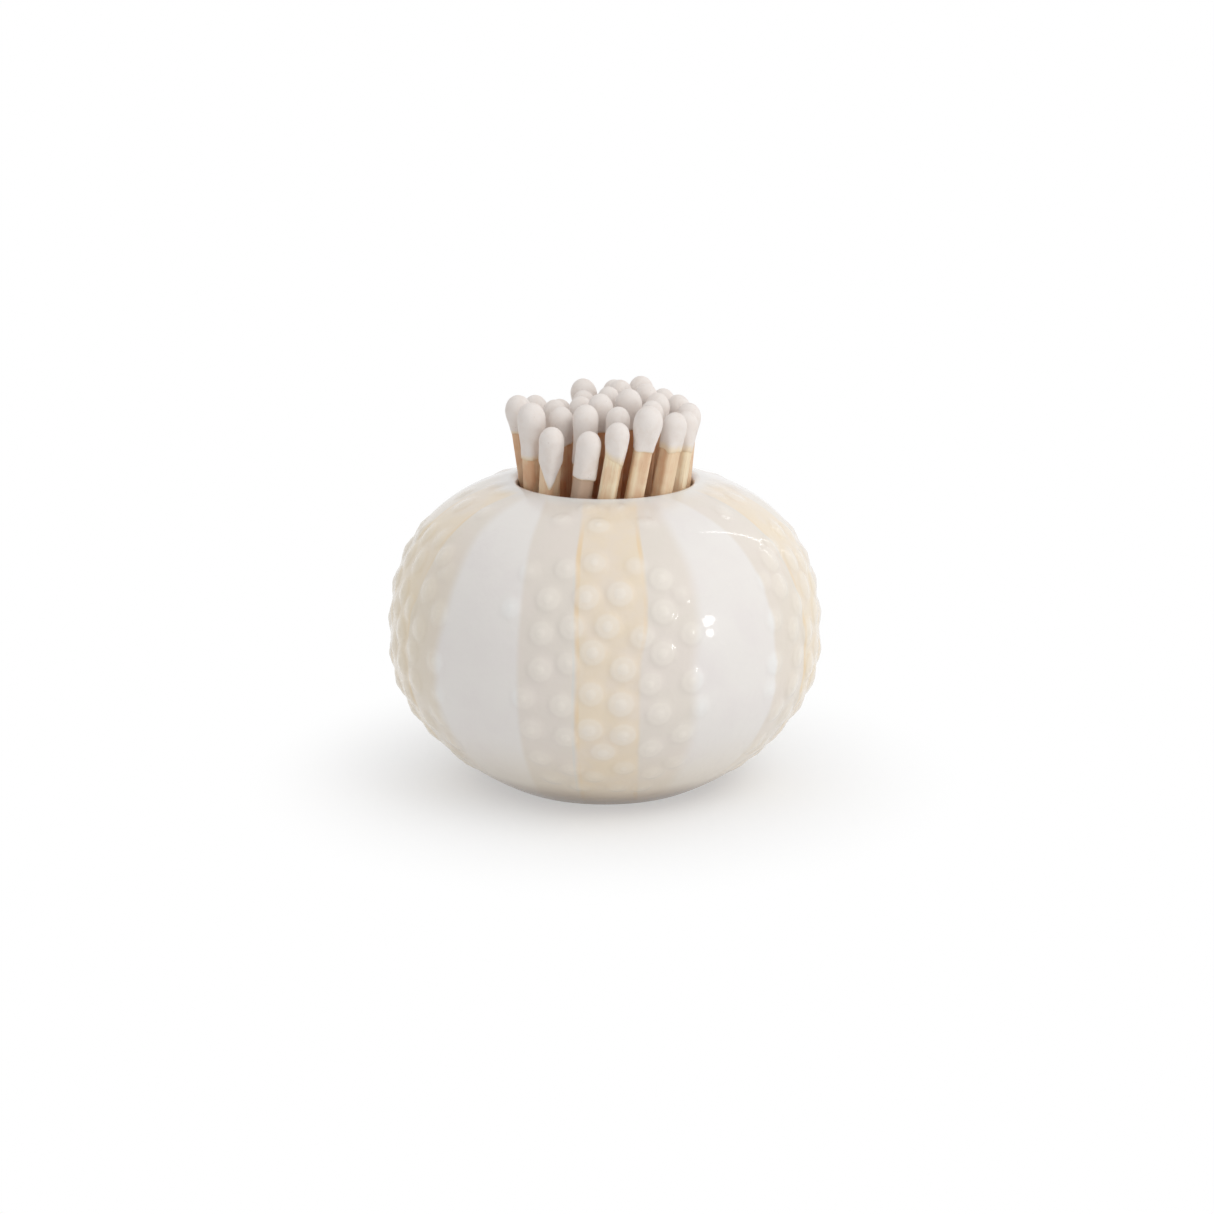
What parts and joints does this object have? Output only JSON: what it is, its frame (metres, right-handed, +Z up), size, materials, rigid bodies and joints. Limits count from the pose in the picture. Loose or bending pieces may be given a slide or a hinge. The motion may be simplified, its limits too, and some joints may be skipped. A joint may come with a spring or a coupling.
{
  "type": "match striker",
  "caption": "Squat sea-urchin shaped ceramic match holder with bands of small raised beads, a smooth rolled mouth and a bundle of white-tipped wooden matches leaning in it.",
  "frame": {"origin": "middle of the foot ring's standing face, on the pot's upright axis", "axes": "+Z up through the mouth, -Y out of the middle of the front beaded band"},
  "size_m": [0.0611, 0.0605, 0.0552],
  "materials": {
    "glaze": "soft gloss glaze, white between the bands and grey-tan on them",
    "striking_surface": "rough dark abrasive coat",
    "match_wood": "bare aspen, matt",
    "match_head": "matt off-white dip, slightly uneven"
  },
  "bodies": {
    "root": {"pot": "glaze", "striker_pad": "striking_surface", "match_01_stick": "match_wood", "match_02_stick": "match_wood", "match_03_stick": "match_wood", "match_04_stick": "match_wood", "match_05_stick": "match_wood", "match_06_stick": "match_wood", "match_07_stick": "match_wood", "match_08_stick": "match_wood", "match_09_stick": "match_wood", "match_10_stick": "match_wood", "match_11_stick": "match_wood", "match_12_stick": "match_wood", "match_13_stick": "match_wood", "match_14_stick": "match_wood", "match_15_stick": "match_wood", "match_16_stick": "match_wood", "match_17_stick": "match_wood", "match_18_stick": "match_wood", "match_19_stick": "match_wood", "match_20_stick": "match_wood", "match_21_stick": "match_wood", "match_22_stick": "match_wood", "match_23_stick": "match_wood", "match_24_stick": "match_wood", "match_25_stick": "match_wood", "match_26_stick": "match_wood", "match_27_stick": "match_wood", "match_28_stick": "match_wood", "match_29_stick": "match_wood", "match_01_head": "match_head", "match_02_head": "match_head", "match_03_head": "match_head", "match_04_head": "match_head", "match_05_head": "match_head", "match_06_head": "match_head", "match_07_head": "match_head", "match_08_head": "match_head", "match_09_head": "match_head", "match_10_head": "match_head", "match_11_head": "match_head", "match_12_head": "match_head", "match_13_head": "match_head", "match_14_head": "match_head", "match_15_head": "match_head", "match_16_head": "match_head", "match_17_head": "match_head", "match_18_head": "match_head", "match_19_head": "match_head", "match_20_head": "match_head", "match_21_head": "match_head", "match_22_head": "match_head", "match_23_head": "match_head", "match_24_head": "match_head", "match_25_head": "match_head", "match_26_head": "match_head", "match_27_head": "match_head", "match_28_head": "match_head", "match_29_head": "match_head"}
  },
  "joints": []
}
